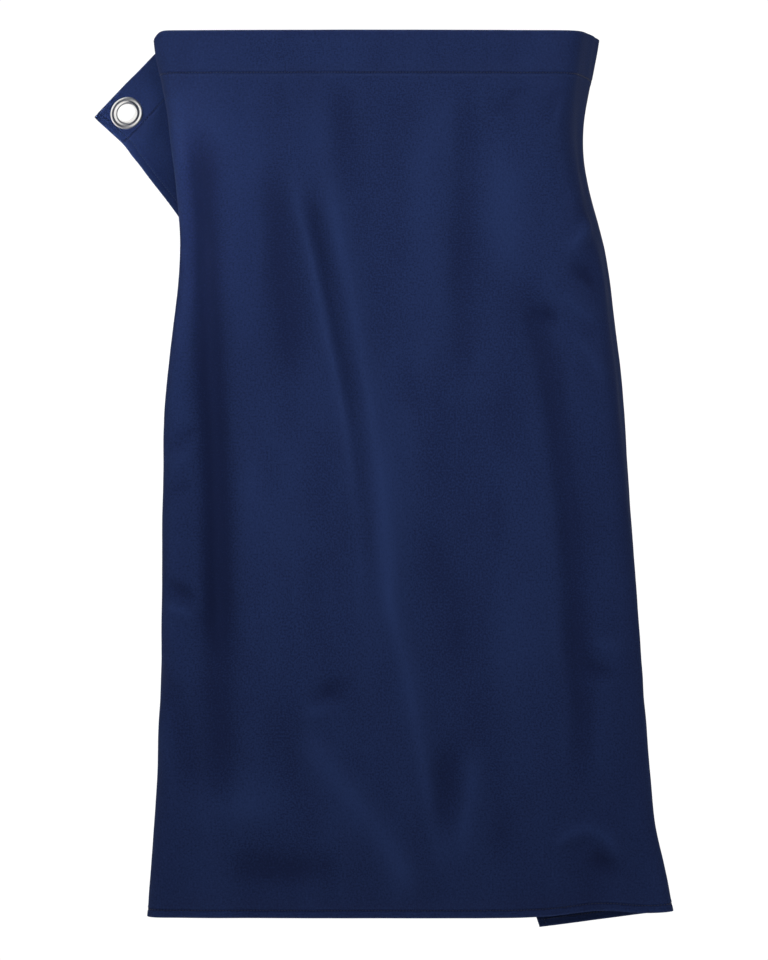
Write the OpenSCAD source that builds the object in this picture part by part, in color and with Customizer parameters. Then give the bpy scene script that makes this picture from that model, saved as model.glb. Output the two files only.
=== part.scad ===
// Waist welding apron: one sheet of twill wrapped round the hips, with a turned
// waistband, stitched hems and a metal eyelet in each top corner.
// X right, Y to the back, Z up, millimetres. The origin is the middle of the space
// inside the waistband, half way up the band.

/* [Cloth] */
// Finished height of the sheet
cloth_h = 800; // [700:1:900]
// Width of the sheet to the left of the front's middle line
left_w = 385; // [370:1:395]
// Width of the sheet to the right of the front's middle line
right_w = 415; // [400:1:425]
// Thickness of one layer of cloth
cloth_t = 0.8; // [0.5:0.1:1.2]
// Air left between two layers
layer_gap = 0.1; // [0.05:0.01:0.2]

/* [Waistband and hems] */
// Height of the turned waistband
band_h = 40; // [30:1:60]
// Height of the turned bottom hem
hem_h = 9; // [7:1:20]
// Width of the turned side hems
side_hem = 9; // [7:1:15]
// Seam line of the waistband, below the top edge
band_seam = 38; // [25:1:58]
// Seam line of the hems, from their folded edge
hem_seam = 6.5; // [4:0.5:12]
// Width of a seam's line of thread
thread_w = 0.8; // [0.5:0.1:1.2]

/* [Eyelets] */
// Outside radius of the eyelet's flange
eyelet_r = 15.5; // [12:0.5:18]
// Radius of the eyelet's hole
hole_r = 8.5; // [6:0.5:9]
// Eyelet's middle, in from the side edge
eyelet_in = 23; // [20:1:30]
// Eyelet's middle, below the top edge
eyelet_down = 20; // [18:1:22]

/* [Care label] */
// Width of the label sewn inside the waistband
label_w = 32; // [20:1:50]
// Height of the label
label_h = 46; // [30:1:70]

/* [Hidden] */

cloth = [0.09, 0.13, 0.27];
cloth_in = [0.07, 0.10, 0.22];
seam = [0.12, 0.17, 0.33];
steel = [0.75, 0.76, 0.78];
white = [0.90, 0.90, 0.88];

z_top = band_h / 2;
y_front = -80;
half = cloth_t / 2;
inner_hi = -half - layer_gap;
inner_lo = inner_hi - cloth_t;
row_step = 2;
// Width of cloth over which a fold turns, and over which the right wing starts to droop
fold_w = 34;
droop_w = 60;

// Drape of the left side, as [distance below the top edge, value] stations.
// Where the side fold sits, out from the middle line
l_fold = [[0, 200], [190, 175], [350, 190], [650, 195], [800, 205]];
// How far behind the side fold the wing turns again
l_deep = [[0, 95], [70, 145], [200, 215], [320, 190], [500, 120], [800, 80]];
// Turn of the side fold, degrees
l_turn = [[0, 90], [800, 85]];
// Turn of the wing's own fold: below zero it folds back outwards
l_back = [[0, -85], [100, -115], [200, -110], [320, 0], [800, 60]];
// Droop of the part between the two folds, degrees
l_drop = [[0, 2], [300, 3], [800, 2]];
// Droop of the part past the second fold, degrees
l_hang = [[0, 45], [100, 50], [200, 45], [320, 10], [800, 5]];

// Drape of the right side
r_fold = [[0, 180], [100, 170], [200, 195], [300, 210], [550, 235], [700, 245], [800, 265]];
r_deep = [[0, 86], [250, 72], [800, 32]];
r_turn = [[0, 70], [400, 80], [800, 86]];
r_back = [[0, 90], [400, 84], [800, 80]];
r_drop = [[0, 3], [250, 8], [800, 8]];

// Where the front ends and a wing starts, past the side fold
l_split = [[0, 45], [800, 45]];
r_split = [[0, 45], [250, 42], [800, 17]];

// Broad hanging folds of the front, as [depth, half width, [[down, across], ...]]
folds = [
    [-6.5, 15, [[90, -162], [220, -156], [360, -149], [600, -142], [760, -138]]],
    [3.5, 15, [[60, -184], [300, -186], [700, -190]]],
    [3.4, 18, [[90, -84], [240, -46], [400, -8], [560, 22], [740, 44], [800, 60]]],
    [-2.6, 16, [[250, -62], [400, -28], [560, 4], [740, 28]]],
    [2.6, 16, [[40, -62], [230, -30], [360, 4], [460, 30]]],
    [-3.2, 16, [[210, 128], [330, 150], [480, 172], [600, 182], [700, 186]]],
    [-3.0, 15, [[620, 52], [700, 58], [770, 60]]],
    [3.0, 14, [[600, -80], [680, -30], [760, 14]]]
];

// Smooth curve through stations
function bracket(st, t, i = 0) = (i >= len(st) - 2 || t < st[i + 1][0]) ? i : bracket(st, t, i + 1);
function rate(st, i) = (st[i + 1][1] - st[i][1]) / (st[i + 1][0] - st[i][0]);
function lean(st, i) =
    i == 0 ? rate(st, 0) :
    i == len(st) - 1 ? rate(st, i - 1) : (rate(st, i - 1) + rate(st, i)) / 2;
function smooth(st, t_in) = let(
    t = min(max(t_in, st[0][0]), st[len(st) - 1][0]),
    i = bracket(st, t),
    h = st[i + 1][0] - st[i][0],
    u = (t - st[i][0]) / h)
    (1 + 2 * u) * (1 - u) * (1 - u) * st[i][1] + u * (1 - u) * (1 - u) * h * lean(st, i)
    + u * u * (3 - 2 * u) * st[i + 1][1] + u * u * (u - 1) * h * lean(st, i + 1);

// Step from 0 to 1 over one unit, centred on zero
function ease(x) = let(u = min(max(x + 0.5, 0), 1)) u * u * (3 - 2 * u);

// One horizontal row of cloth, walked outwards from the front's middle line
function left_row(t) = let(
    c = smooth(l_fold, t),
    d = c + smooth(l_deep, t),
    a1 = smooth(l_turn, t),
    a2 = smooth(l_back, t),
    s1 = smooth(l_drop, t),
    s2 = smooth(l_hang, t) - s1,
    n = ceil((left_w + 6) / row_step))
    [for (k = 0, p = [0, 0, 0]; k <= n; k = k + 1,
        q = (k - 0.5) * row_step,
        e1 = ease((q - c) / fold_w),
        e2 = ease((q - d) / fold_w),
        th = q / 50 + a1 * e1 + a2 * e2,
        sl = s1 * e1 + s2 * e2,
        p = p + row_step * [-cos(sl) * cos(th), cos(sl) * sin(th), -sin(sl)]) p];

function right_row(t) = let(
    c = smooth(r_fold, t),
    w = smooth(r_deep, t),
    d = c + w,
    a1 = smooth(r_turn, t),
    a2 = smooth(r_back, t),
    s1 = smooth(r_drop, t),
    n = ceil((right_w + 6) / row_step))
    [for (k = 0, p = [0, 0, 0]; k <= n; k = k + 1,
        q = (k - 0.5) * row_step,
        th = q / 50 + a1 * ease((q - c) / fold_w) + a2 * ease((q - d) / fold_w),
        sl = s1 * ease((q - c - 0.6 * w) / droop_w),
        p = p + row_step * [cos(sl) * cos(th), cos(sl) * sin(th), -sin(sl)]) p];

// Both halves of one row
function row(t) = [left_row(t), right_row(t), t];
function on_row(r, s) = let(
    side = s < 0 ? 0 : 1,
    q = abs(s) / row_step,
    i = min(floor(q), len(r[side]) - 2),
    p = r[side][i] + (q - i) * (r[side][i + 1] - r[side][i]))
    [p[0], y_front + p[1], z_top - r[2] + p[2] + lift(s, r[2])];
function heading(r, s) = let(
    side = s < 0 ? 0 : 1,
    i = min(floor(abs(s) / row_step), len(r[side]) - 2))
    (s < 0 ? -1 : 1) * (r[side][i + 1] - r[side][i]);

// The front's bottom hem arches up a little near its right corner
function lift(s, t) = t < cloth_h - 140 ? 0 : let(g = (s - 205) / 42)
    (6 * exp(-g * g) + 4 * ease((s - 250) / 50)) * ease((t - cloth_h + 70) / 140);

function unit(v) = v / norm(v);
// [point, outward normal] of the cloth's middle surface
function raw_at(r0, r1, r2, s) =
    [on_row(r1, s), unit(cross(on_row(r2, s) - on_row(r0, s), heading(r1, s)))];

// Flat seat of an eyelet: [s, t, point, across, down, normal]
function seat(s, t) = let(
    f = raw_at(row(t - 1), row(t), row(t + 1), s),
    a = unit(heading(row(t), s)),
    n = f[1])
    [s, t, f[0], a, unit(cross(a, n)), n];
seat_l = seat(-(left_w - eyelet_in), eyelet_down);
seat_r = seat(right_w - eyelet_in, eyelet_down);

function settled(f, s, t) = let(
    e = s < 0 ? seat_l : seat_r,
    w = 1 - ease((norm([s - e[0], t - e[1]]) - 34) / 16))
    w <= 0 ? f :
    [(1 - w) * f[0] + w * (e[2] + (s - e[0]) * e[3] + (t - e[1]) * e[4]),
        unit((1 - w) * f[1] + w * e[5])];

// Depth of the hanging folds
function fold_side(st, t) = smooth([for (p = st) [p[0], p[1]]], t);
function fold_depth(s, t) = let(
    list = [for (f = folds) let(
        a = f[2][0][0],
        b = f[2][len(f[2]) - 1][0],
        fade = ease((t - a) / 120) * ease((b + 20 - t) / 120),
        g = (s - fold_side(f[2], t)) / f[1])
        fade <= 0 || abs(g) > 3 ? 0 : f[0] * fade * exp(-g * g)])
    list * [for (f = folds) 1];

// Points of one row at distances ss, each pushed out by off
function sheet_row(t, ss, off, folded) = let(
    r0 = row(t - 2),
    r1 = row(t),
    r2 = row(t + 2))
    [for (s = ss) let(
        f = settled(raw_at(r0, r1, r2, s), s, t),
        d = folded ? fold_depth(s, t) : 0)
        [for (o = off) f[0] + (o + d) * f[1]]];

// Solid between two faces of the same grid; pts[i][j] = [outer, inner]
module solid(pts) {
    n = len(pts);
    m = len(pts[0]);
    flat = [for (r = pts) for (p = r) for (q = p) q];
    function id(i, j, k) = (i * m + j) * 2 + k;
    function two(a, b, c, d) = [[a, b, c], [a, c, d]];
    quads = [for (i = [0:n - 2]) for (j = [0:m - 2]) for (f = concat(
            two(id(i, j, 0), id(i, j + 1, 0), id(i + 1, j + 1, 0), id(i + 1, j, 0)),
            two(id(i, j, 1), id(i + 1, j, 1), id(i + 1, j + 1, 1), id(i, j + 1, 1)))) f];
    ends = [for (j = [0:m - 2]) for (f = concat(
            two(id(0, j, 0), id(0, j, 1), id(0, j + 1, 1), id(0, j + 1, 0)),
            two(id(n - 1, j, 0), id(n - 1, j + 1, 0), id(n - 1, j + 1, 1), id(n - 1, j, 1)))) f];
    sides = [for (i = [0:n - 2]) for (f = concat(
            two(id(i, 0, 0), id(i + 1, 0, 0), id(i + 1, 0, 1), id(i, 0, 1)),
            two(id(i, m - 1, 0), id(i, m - 1, 1), id(i + 1, m - 1, 1), id(i + 1, m - 1, 0)))) f];
    polyhedron(points = flat, faces = concat(quads, ends, sides), convexity = 10);
}

// Distances across the sheet: where the grid lines of each part run
function front_s(t) = let(
    a = -smooth(l_fold, t) - smooth(l_split, t),
    b = smooth(r_fold, t) + smooth(r_split, t))
    concat([for (k = [0:7]) a + 9 * k], [for (k = [1:35]) a + 63 + k * (b - a - 126) / 36],
        [for (k = [7:-1:0]) b - 9 * k]);
edge_s = [0, hem_seam - thread_w / 2, hem_seam + thread_w / 2, side_hem, side_hem + 6];
function wing_s(t, w, split) = let(a = w - edge_s[4])
    concat([for (k = [0:12]) split + (a - split) * k / 13], [for (k = [4:-1:0]) w - edge_s[k]]);
// Air between the front's side edge and a wing, for the wing's swing
wing_gap = 1.4;
// Cloth left bare at each end of a line of thread
thread_end = 2;
function left_s(t) = let(q = wing_s(t, left_w, smooth(l_fold, t) + smooth(l_split, t) + wing_gap))
    [for (i = [len(q) - 1:-1:0]) -q[i]];
function right_s(t) = wing_s(t, right_w, smooth(r_fold, t) + smooth(r_split, t) + wing_gap);

// Distances down the sheet, on every seam line
band_t = [0.4, 14, 26, band_seam - thread_w / 2, band_seam + thread_w / 2, band_h + 1];
hem_t = [cloth_h - hem_h - 2, cloth_h - hem_seam - thread_w / 2,
    cloth_h - hem_seam + thread_w / 2, cloth_h - 0.4];
body_t = concat([for (k = [1:7]) band_h + 1 + k * 18], [for (k = [1:14])
    band_h + 127 + k * (cloth_h - hem_h - 2 - band_h - 127) / 15]);
sheet_t = concat(band_t, body_t, hem_t);

// s positions: 0 front, 1 left wing, 2 right wing
function cols(part, t) = part == 0 ? front_s(t) : part == 1 ? left_s(t) : right_s(t);
module panel(part) {
    solid([for (t = sheet_t) sheet_row(t, cols(part, t), [half, -half], part == 0)]);
}

// Layer turned to the inside along the top (down = 1) or the bottom edge (down = -1)
module turned(part, rows, edge, down) {
    in_rows = [for (t = rows) let(p = sheet_row(t, cols(part, t), [inner_hi, inner_lo], part == 0)) p];
    te = edge - down * layer_gap;
    to = te - down * cloth_t;
    near = sheet_row(te, cols(part, te), [inner_hi, half], part == 0);
    far = sheet_row(to, cols(part, to), [inner_lo, half], part == 0);
    bend = [for (j = [0:len(near) - 1]) [near[j][0], far[j][0]]];
    lip = [for (j = [0:len(near) - 1]) [near[j][1], far[j][1]]];
    stack = concat(in_rows, [bend], [lip]);
    solid(down > 0 ? [for (i = [len(stack) - 1:-1:0]) stack[i]] : stack);
}
module waistband(part) {
    turned(part, [band_h, band_t[4], band_t[3], band_t[2], band_t[1], band_t[0]], 0.4, 1);
}
module bottom_hem(part) {
    turned(part, [cloth_h - hem_h, hem_t[1], hem_t[2], hem_t[3]], cloth_h - 0.4, -1);
}

// Line of thread, proud of the outer face
module thread_row(part, t) {
    a = t - thread_w / 2;
    b = t + thread_w / 2;
    solid([sheet_row(a, inset(cols(part, a)), [half + 0.5, half + 0.1], part == 0),
        sheet_row(b, inset(cols(part, b)), [half + 0.5, half + 0.1], part == 0)]);
}
function inset(c) = [for (i = [0:len(c) - 1])
    i == 0 ? c[0] + thread_end : i == len(c) - 1 ? c[i] - thread_end : c[i]];

// Side hem: the sheet's side edge turned in, between waistband and bottom hem
side_t = [for (t = sheet_t) if (t >= band_h + 1 && t <= cloth_h - hem_h - 1) t];
module side_hem_strip(sign, w) {
    in_q = [w - side_hem, w - edge_s[2], w - edge_s[1], w];
    solid([for (t = side_t) let(
        a = sheet_row(t, [for (q = in_q) sign * q], [inner_hi, inner_lo], false),
        e = sheet_row(t, [sign * (w + layer_gap)], [inner_hi, half], false)[0],
        o = sheet_row(t, [sign * (w + layer_gap + cloth_t)], [inner_lo, half], false)[0],
        all = concat(a, [[e[0], o[0]]], [[e[1], o[1]]]))
        sign > 0 ? all : [for (i = [len(all) - 1:-1:0]) all[i]]]);
}
module side_thread(sign, w) {
    q = sign > 0 ? [w - edge_s[2], w - edge_s[1]] : [-(w - edge_s[1]), -(w - edge_s[2])];
    solid([for (t = side_t) sheet_row(t, q, [half + 0.5, half + 0.1], false)]);
}

// Eyelet parts, about the z axis, outer side up
flange_z = half + 0.05;
washer_z = inner_lo - 0.05;
module eyelet_barrel() {
    r = eyelet_r;
    h = hole_r;
    rotate_extrude($fn = 96)
        polygon([[h, washer_z - 1.5], [h + 1.7, washer_z - 1.5], [h + 1.9, washer_z - 1.2],
            [h + 1.7, washer_z - 0.95], [h + 0.6, washer_z - 0.95], [h + 0.6, flange_z],
            [r - 0.3, flange_z], [r, flange_z + 0.3], [r - 0.15, flange_z + 0.65],
            [r - 0.6, flange_z + 0.85], [r - 1.5, flange_z + 0.8], [r - 2.2, flange_z + 0.5],
            [r - 2.9, flange_z + 0.6], [r - 3.5, flange_z + 1.2], [r - 4.3, flange_z + 1.65],
            [r - 5.1, flange_z + 1.7], [r - 5.9, flange_z + 1.4], [h + 0.3, flange_z + 0.9],
            [h, flange_z + 0.3]]);
}
module washer() {
    h = hole_r + 0.7;
    r = eyelet_r;
    rotate_extrude($fn = 96)
        polygon([[h, washer_z], [r, washer_z], [r, washer_z - 0.3], [r - 0.4, washer_z - 0.6],
            [h + 1.6, washer_z - 0.85], [h, washer_z - 0.85]]);
}
module at_seat(e) {
    a = e[3];
    b = -e[4];
    n = e[5];
    p = e[2];
    multmatrix([[a[0], b[0], n[0], p[0]], [a[1], b[1], n[1], p[1]],
        [a[2], b[2], n[2], p[2]], [0, 0, 0, 1]]) children();
}
module punch(e) {
    at_seat(e) cylinder(r = hole_r + 0.8, h = 12, center = true, $fn = 96);
}

module front_panel() color(cloth) panel(0);
module waistband_front() color(cloth_in) waistband(0);
module bottom_hem_front() color(cloth_in) bottom_hem(0);
module waist_thread_front() color(seam) thread_row(0, band_seam);
module hem_thread_front() color(seam) thread_row(0, cloth_h - hem_seam);
module care_label() color(white) {
    s0 = -60;
    solid([for (k = [0:6]) let(t = band_h - 6 + k * label_h / 6)
        sheet_row(t, [for (j = [0:4]) s0 + j * label_w / 4], [inner_lo - 0.1, inner_lo - 0.4], true)]);
}

module left_wing_panel() color(cloth) difference() {
    panel(1);
    punch(seat_l);
}
module waistband_left() color(cloth_in) difference() {
    waistband(1);
    punch(seat_l);
}
module bottom_hem_left() color(cloth_in) bottom_hem(1);
module side_hem_left() color(cloth_in) side_hem_strip(-1, left_w);
module waist_thread_left() color(seam) thread_row(1, band_seam);
module hem_thread_left() color(seam) thread_row(1, cloth_h - hem_seam);
module side_thread_left() color(seam) side_thread(-1, left_w);
module eyelet_left() color(steel) at_seat(seat_l) eyelet_barrel();
module eyelet_washer_left() color(steel) at_seat(seat_l) washer();

module right_wing_panel() color(cloth) difference() {
    panel(2);
    punch(seat_r);
}
module waistband_right() color(cloth_in) difference() {
    waistband(2);
    punch(seat_r);
}
module bottom_hem_right() color(cloth_in) bottom_hem(2);
module side_hem_right() color(cloth_in) side_hem_strip(1, right_w);
module waist_thread_right() color(seam) thread_row(2, band_seam);
module hem_thread_right() color(seam) thread_row(2, cloth_h - hem_seam);
module side_thread_right() color(seam) side_thread(1, right_w);
module eyelet_right() color(steel) at_seat(seat_r) eyelet_barrel();
module eyelet_washer_right() color(steel) at_seat(seat_r) washer();

front_panel();
waistband_front();
bottom_hem_front();
waist_thread_front();
hem_thread_front();
care_label();
left_wing_panel();
waistband_left();
bottom_hem_left();
side_hem_left();
waist_thread_left();
hem_thread_left();
side_thread_left();
eyelet_left();
eyelet_washer_left();
right_wing_panel();
waistband_right();
bottom_hem_right();
side_hem_right();
waist_thread_right();
hem_thread_right();
side_thread_right();
eyelet_right();
eyelet_washer_right();
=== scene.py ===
"""Waist welding apron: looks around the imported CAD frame. Lengths are millimetres until a mesh is made."""

import math

import bpy
import numpy as np
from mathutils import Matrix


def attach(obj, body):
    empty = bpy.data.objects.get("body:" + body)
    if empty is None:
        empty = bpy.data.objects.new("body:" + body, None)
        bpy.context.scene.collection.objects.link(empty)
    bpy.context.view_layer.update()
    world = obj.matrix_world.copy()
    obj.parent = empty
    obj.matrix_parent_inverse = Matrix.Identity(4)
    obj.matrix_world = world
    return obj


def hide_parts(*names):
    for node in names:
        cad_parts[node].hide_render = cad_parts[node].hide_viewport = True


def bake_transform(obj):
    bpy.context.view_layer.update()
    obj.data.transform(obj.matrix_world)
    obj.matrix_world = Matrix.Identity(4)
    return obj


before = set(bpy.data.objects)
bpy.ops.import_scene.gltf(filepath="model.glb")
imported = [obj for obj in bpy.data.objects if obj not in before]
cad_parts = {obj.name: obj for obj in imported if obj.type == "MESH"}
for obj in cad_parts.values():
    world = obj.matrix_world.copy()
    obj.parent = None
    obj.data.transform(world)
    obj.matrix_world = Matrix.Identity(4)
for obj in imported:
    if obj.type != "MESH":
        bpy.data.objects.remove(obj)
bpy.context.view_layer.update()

MM = 0.001
# The flat cloth, as in the CAD: height, and width on each side of the middle
CLOTH_H = 800.0
LEFT_W = 385.0
RIGHT_W = 415.0
CLOTH_T = 0.8
HALF = CLOTH_T / 2
# Turned layers, and how far in their seams lie
BAND_H = 40.0
BAND_SEAM = 38.0
HEM_H = 9.0
HEM_SEAM = 6.5
SIDE_HEM = 9.0
# Air between two layers of cloth
GAP = 0.1
# Eyelets: place of the axis from the cloth's side and top, and radii
EYELET_IN = 23.0
EYELET_DOWN = 20.0
EYELET_R = 15.5
HOLE_R = 8.5
# Where the middle of the top edge sits
Z_TOP = 20.0
Y_FRONT = -80.0
# Walking step along the cloth, and the widths over which it turns and droops
STEP = 1.0
FOLD_W = 34.0
DROOP_W = 60.0
# The front's slight curve: millimetres of cloth for each degree that it turns
BOW = 50.0
# How far the table of points goes on past the cloth's edges
PAST_EDGE = 8.0

# ---------------------------------------------------------------- camera


# Metres from the camera to the front's face
CAMERA_DISTANCE = 4.0
SENSOR_MM = 36
# Metres at the front's face that one of the picture's 960 rows covers
ROW_M = 0.0009009
ROWS = 960


def make_camera():
    data = bpy.data.cameras.new("camera")
    cam = bpy.data.objects.new("camera", data)
    bpy.context.scene.collection.objects.link(cam)
    cam.location = (0.0054, Y_FRONT * MM - CAMERA_DISTANCE, -0.3854)
    cam.rotation_euler = (math.radians(90), 0, 0)
    data.sensor_width = SENSOR_MM
    data.lens = SENSOR_MM * CAMERA_DISTANCE / (ROWS * ROW_M)
    data.clip_start = 0.1
    data.clip_end = 60
    bpy.context.scene.camera = cam


make_camera()

# ---------------------------------------------------------------- drape of the sheet
# The same stations as the CAD: [distance below the top edge, value]. FOLD is how far out the side fold
# lies and DEEP how far past it the wing turns again. TURN and BACK are the degrees of the two turns, and
# DROP and HANG the degrees by which the cloth past each of them droops.

L_FOLD = [[0, 200], [190, 175], [350, 190], [650, 195], [800, 205]]
L_DEEP = [[0, 95], [70, 145], [200, 215], [320, 190], [500, 120], [800, 80]]
L_TURN = [[0, 90], [800, 85]]
L_BACK = [[0, -85], [100, -115], [200, -110], [320, 0], [800, 60]]
L_DROP = [[0, 2], [300, 3], [800, 2]]
L_HANG = [[0, 45], [100, 50], [200, 45], [320, 10], [800, 5]]
R_FOLD = [[0, 180], [100, 170], [200, 195], [300, 210], [550, 235], [700, 245], [800, 265]]
R_DEEP = [[0, 86], [250, 72], [800, 32]]
R_TURN = [[0, 70], [400, 80], [800, 86]]
R_BACK = [[0, 90], [400, 84], [800, 80]]
R_DROP = [[0, 3], [250, 8], [800, 8]]


def smooth(stations, t):
    """Smooth curve through stations."""
    st = np.array(stations, float)
    x, y = st[:, 0], st[:, 1]
    t = np.clip(t, x[0], x[-1])
    i = np.clip(np.searchsorted(x, t, side="right") - 1, 0, len(x) - 2)
    d = np.diff(y) / np.diff(x)
    m = np.concatenate([[d[0]], (d[:-1] + d[1:]) / 2, [d[-1]]])
    h = x[i + 1] - x[i]
    u = (t - x[i]) / h
    return (
        (1 + 2 * u) * (1 - u) ** 2 * y[i]
        + u * (1 - u) ** 2 * h * m[i]
        + u * u * (3 - 2 * u) * y[i + 1]
        + u * u * (u - 1) * h * m[i + 1]
    )


def ease(x):
    """0 below -0.5, 1 above 0.5 and smooth between."""
    u = np.clip(np.asarray(x, float) + 0.5, 0, 1)
    return u * u * (3 - 2 * u)


def walk(th, sl):
    """Points reached by walking outwards along headings th and droops sl, in degrees."""
    th, sl = np.radians(th), np.radians(sl)
    steps = np.stack([np.cos(sl) * np.cos(th), np.cos(sl) * np.sin(th), -np.sin(sl)], -1)
    out = np.zeros((th.shape[0], th.shape[1] + 1, 3))
    out[:, 1:] = np.cumsum(steps * STEP, 1)
    return out


def walked_cloth(width):
    """Middles of the steps from the cloth's middle to a little past its side edge."""
    return (np.arange(int((width + PAST_EDGE) / STEP)) + 0.5) * STEP


def left_rows(t):
    q = walked_cloth(LEFT_W)
    t = t[:, None]
    fold = smooth(L_FOLD, t)
    past_fold = ease((q - fold) / FOLD_W)
    past_turn = ease((q - fold - smooth(L_DEEP, t)) / FOLD_W)
    droop = smooth(L_DROP, t)
    out = walk(
        q / BOW + smooth(L_TURN, t) * past_fold + smooth(L_BACK, t) * past_turn,
        droop * past_fold + (smooth(L_HANG, t) - droop) * past_turn,
    )
    out[..., 0] *= -1
    return out


def right_rows(t):
    q = walked_cloth(RIGHT_W)
    t = t[:, None]
    fold = smooth(R_FOLD, t)
    deep = smooth(R_DEEP, t)
    past_fold = ease((q - fold) / FOLD_W)
    past_turn = ease((q - fold - deep) / FOLD_W)
    return walk(
        q / BOW + smooth(R_TURN, t) * past_fold + smooth(R_BACK, t) * past_turn,
        smooth(R_DROP, t) * ease((q - fold - 0.6 * deep) / DROOP_W),
    )


def lift(s, t):
    """How far the front's bottom right corner is raised."""
    hump = np.exp(-(((s - 205) / 42) ** 2))
    return (6 * hump + 4 * ease((s - 250) / 50)) * ease((t - CLOTH_H + 70) / 140)


# Points of the cloth's middle: a row for each distance rows_t down, a column for each table_s across
T0 = -6.0
rows_t = np.arange(T0, CLOTH_H + PAST_EDGE, STEP)
left = left_rows(rows_t)
right = right_rows(rows_t)
table_s = np.concatenate([-np.arange(left.shape[1] - 1, 0, -1), np.arange(right.shape[1])]) * STEP
S0 = table_s[0]
base = np.concatenate([left[:, :0:-1], right], 1)
base[..., 1] += Y_FRONT
base[..., 2] += Z_TOP - rows_t[:, None] + lift(table_s[None, :], rows_t[:, None])


CORNER_WIDE = 14
CORNER_TALL = 7


def round_left_corner():
    """Rounds off the waistband's top corner over the left side fold."""
    q = -table_s[None, :]
    x = -base[..., 0]
    # the place in each row that stands farthest left on the fold
    tip = np.where((q > 150) & (q < 240), x, -np.inf).argmax(1)[:, None]
    inside = np.clip(1 - (np.take_along_axis(x, tip, 1) - x) / CORNER_WIDE, 0, 1)
    before_tip = CORNER_TALL * inside**4 * (q > 0)
    past = q + table_s[tip]
    past_tip = CORNER_TALL * (1 - ease((past - 35) / 50))
    drop = np.where(past > 0, past_tip, before_tip)
    faded = ease((rows_t[:, None] - BAND_SEAM / 2) / BAND_SEAM)
    base[..., 2] -= drop * (1 - faded)


round_left_corner()


def unit(v):
    return v / np.maximum(np.linalg.norm(v, axis=-1, keepdims=True), 1e-12)


def surface_normals(p):
    return unit(np.cross(np.gradient(p, axis=0), np.gradient(p, axis=1)))


normals = surface_normals(base)


def sample(table, s, t):
    """Bilinear look-up of a table at cloth distances s and t."""
    a = np.clip((np.asarray(t, float) - T0) / STEP, 0, table.shape[0] - 1.001)
    b = np.clip((np.asarray(s, float) - S0) / STEP, 0, table.shape[1] - 1.001)
    i, j = a.astype(int), b.astype(int)
    u, v = (a - i)[..., None], (b - j)[..., None]
    return (
        table[i, j] * (1 - u) * (1 - v)
        + table[i + 1, j] * u * (1 - v)
        + table[i, j + 1] * (1 - u) * v
        + table[i + 1, j + 1] * u * v
    )


def seat_at(s, t):
    """Flat seat of an eyelet: cloth point, direction across, direction down, normal."""
    p = sample(base, s, t)
    a = unit(sample(base, s + 1, t) - sample(base, s - 1, t))
    d = sample(base, s, t + 1) - sample(base, s, t - 1)
    n = unit(np.cross(d, a))
    return p, a, unit(np.cross(a, n)), n


SEATS = {
    "left": (-(LEFT_W - EYELET_IN), EYELET_DOWN),
    "right": (RIGHT_W - EYELET_IN, EYELET_DOWN),
}
seats = {k: seat_at(*v) for k, v in SEATS.items()}

# The cloth is flat within 26 mm of an eyelet's axis, and free from 42 mm on
for side, (cs, ct) in SEATS.items():
    p0, a0, d0, n0 = seats[side]
    ds = table_s[None, :] - cs
    dt = rows_t[:, None] - ct
    flatness = (1 - ease((np.hypot(ds, dt) - 34) / 16))[..., None]
    flat = p0 + ds[..., None] * a0 + dt[..., None] * d0
    base = base * (1 - flatness) + flat * flatness
normals = surface_normals(base)

# ---------------------------------------------------------------- folds and wrinkles
# Each crease: [height, width on its left, width on its right, taper, [[across, down], ...]].
# A valley has a negative height. Left and right are as seen walking along it.

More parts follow.
